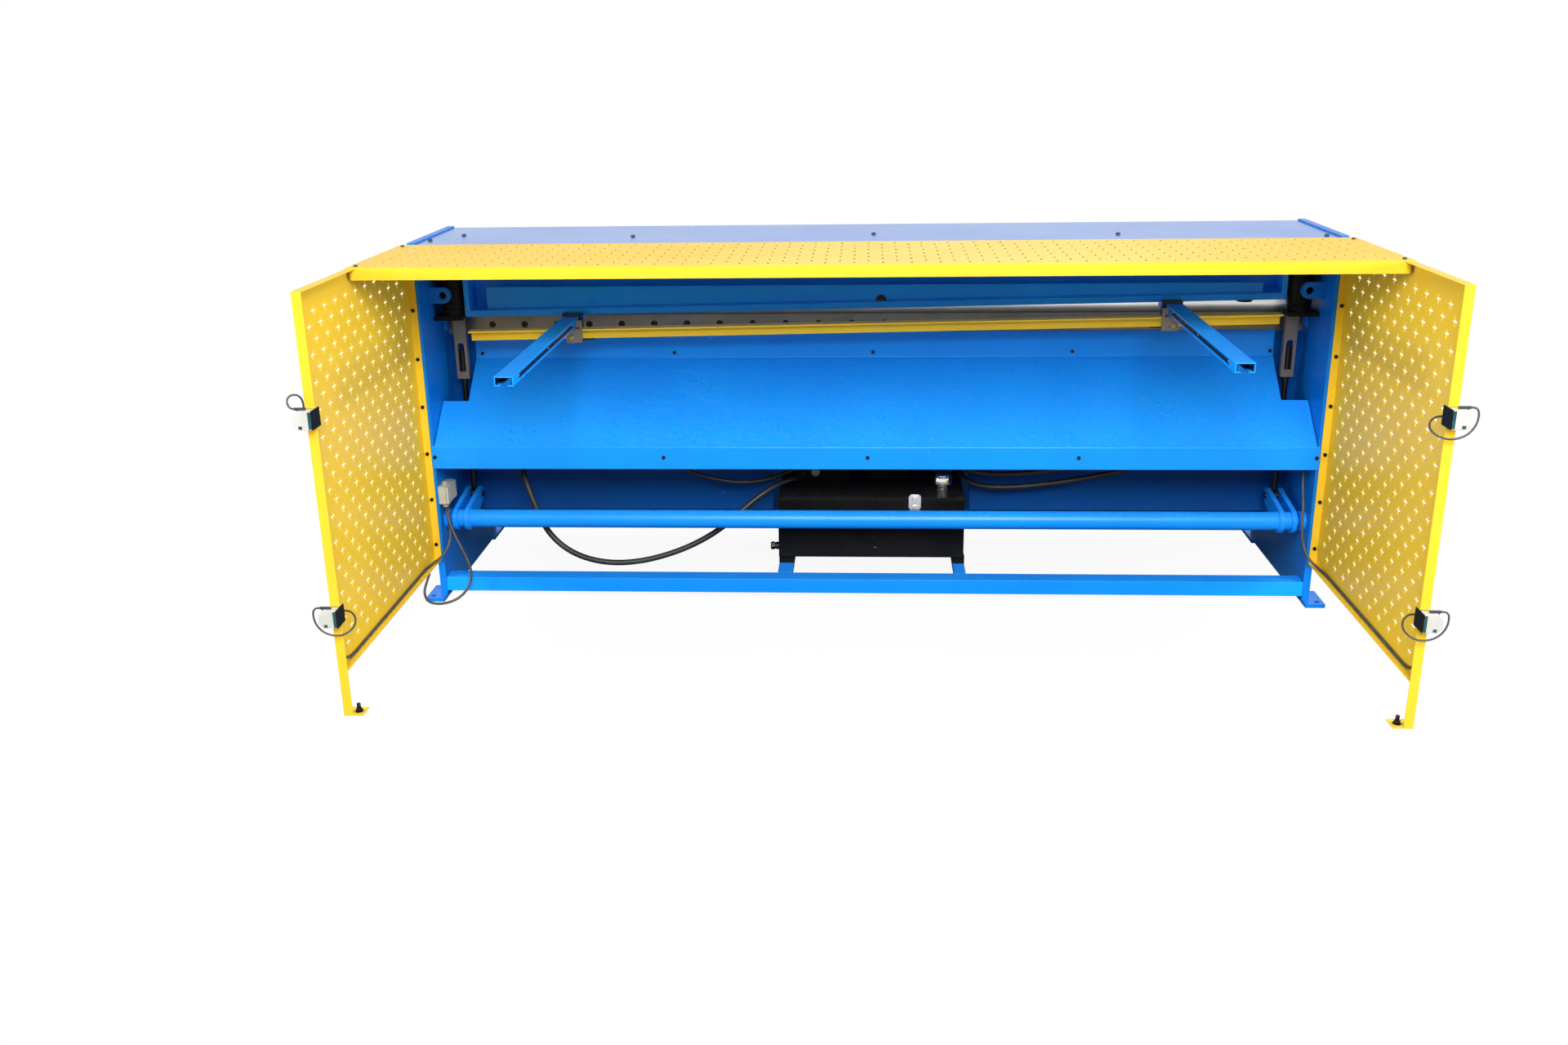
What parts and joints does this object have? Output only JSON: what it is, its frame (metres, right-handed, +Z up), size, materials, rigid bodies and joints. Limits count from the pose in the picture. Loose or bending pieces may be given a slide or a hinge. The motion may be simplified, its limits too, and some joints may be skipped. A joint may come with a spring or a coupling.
{
  "type": "hydraulic guillotine shear",
  "caption": "Low hydraulic guillotine shear seen from its rear: blue side plates, ram, chute, torsion shaft and tank, yellow punched guards and a back gauge on rails.",
  "frame": {"origin": "on the floor under the middle of the machine's outline without its free hoses", "axes": "+X right as seen from the rear, +Y towards the operator's side, +Z up"},
  "size_m": [2.7642, 1.563, 1.095],
  "materials": {
    "frame_blue": "gloss paint",
    "bed_blue": "gloss paint in shade",
    "guard_yellow": "satin paint",
    "blade_steel": "ground",
    "hydraulic_black": "gloss black paint",
    "bright_metal": "plated",
    "link_grey": "grey steel",
    "dark_steel": "dark steel",
    "sensor_white": "moulded",
    "box_grey": "moulded",
    "hose_rubber": "rubber"
  },
  "bodies": {
    "frame": {"side_plate_left": "frame_blue", "side_plate_right": "frame_blue", "foot_plates": "frame_blue", "top_cover": "frame_blue", "front_cover": "frame_blue", "chute": "frame_blue", "bed_front_plate": "frame_blue", "bottom_beam": "frame_blue", "tank_bars": "frame_blue", "hold_down_beam": "frame_blue", "guide_strips": "frame_blue", "end_lugs": "frame_blue", "bed_rear_plate": "bed_blue", "bed_ribs": "bed_blue", "top_guard": "guard_yellow", "side_guard_left": "guard_yellow", "side_guard_right": "guard_yellow", "finger_guard": "guard_yellow", "lower_blade": "blade_steel", "table_top": "blade_steel", "oil_tank": "hydraulic_black", "tank_lid": "hydraulic_black", "tank_feet": "hydraulic_black", "tank_hatch": "hydraulic_black", "valve_block": "hydraulic_black", "pump_motor": "hydraulic_black", "cylinder_left": "hydraulic_black", "cylinder_right": "hydraulic_black", "cylinder_shelves": "hydraulic_black", "shaft_bearings": "frame_blue", "level_gauge": "bright_metal", "filler_cap": "bright_metal", "drain_plug": "bright_metal", "hose_fittings": "bright_metal", "hold_down_feet": "dark_steel", "sensor_brackets": "dark_steel", "sensor_boxes": "sensor_white", "valve_knob": "sensor_white", "junction_box": "box_grey", "cable_inlet": "box_grey", "sensor_leads": "hose_rubber", "cable_run_left": "hose_rubber", "cable_run_right": "hose_rubber", "cable_loop": "hose_rubber", "hose_loop": "hose_rubber", "hose_back": "hose_rubber", "hose_upper": "hose_rubber", "hose_lower": "hose_rubber"},
    "ram": {"ram_beam": "frame_blue", "upper_blade": "blade_steel", "ram_arms": "frame_blue", "piston_rods": "bright_metal", "link_bars": "link_grey", "link_rods": "dark_steel", "gauge_rails": "frame_blue"},
    "torsion_shaft": {"torsion_tube": "frame_blue", "shaft_levers": "frame_blue", "lever_pins": "dark_steel"},
    "back_gauge": {"gauge_angle": "guard_yellow", "gauge_clamps": "dark_steel"}
  },
  "joints": [
    {"name": "ram_slide", "type": "slide", "parent": "frame", "child": "ram", "axis": [0, 0, 1], "range_m": [-0.06, 0]},
    {"name": "shaft_turn", "type": "hinge", "parent": "frame", "child": "torsion_shaft", "pos_m": [0, 0.1415, 0.24], "axis": [1, 0, 0], "range_deg": [-23.08, 0]},
    {"name": "back_gauge_slide", "type": "slide", "parent": "ram", "child": "back_gauge", "axis": [0, -1, 0], "range_m": [0, 0.7]}
  ],
  "couplings": [
    {"joint": "shaft_turn", "follows": "ram_slide", "rad_per_m": 6.7097}
  ]
}
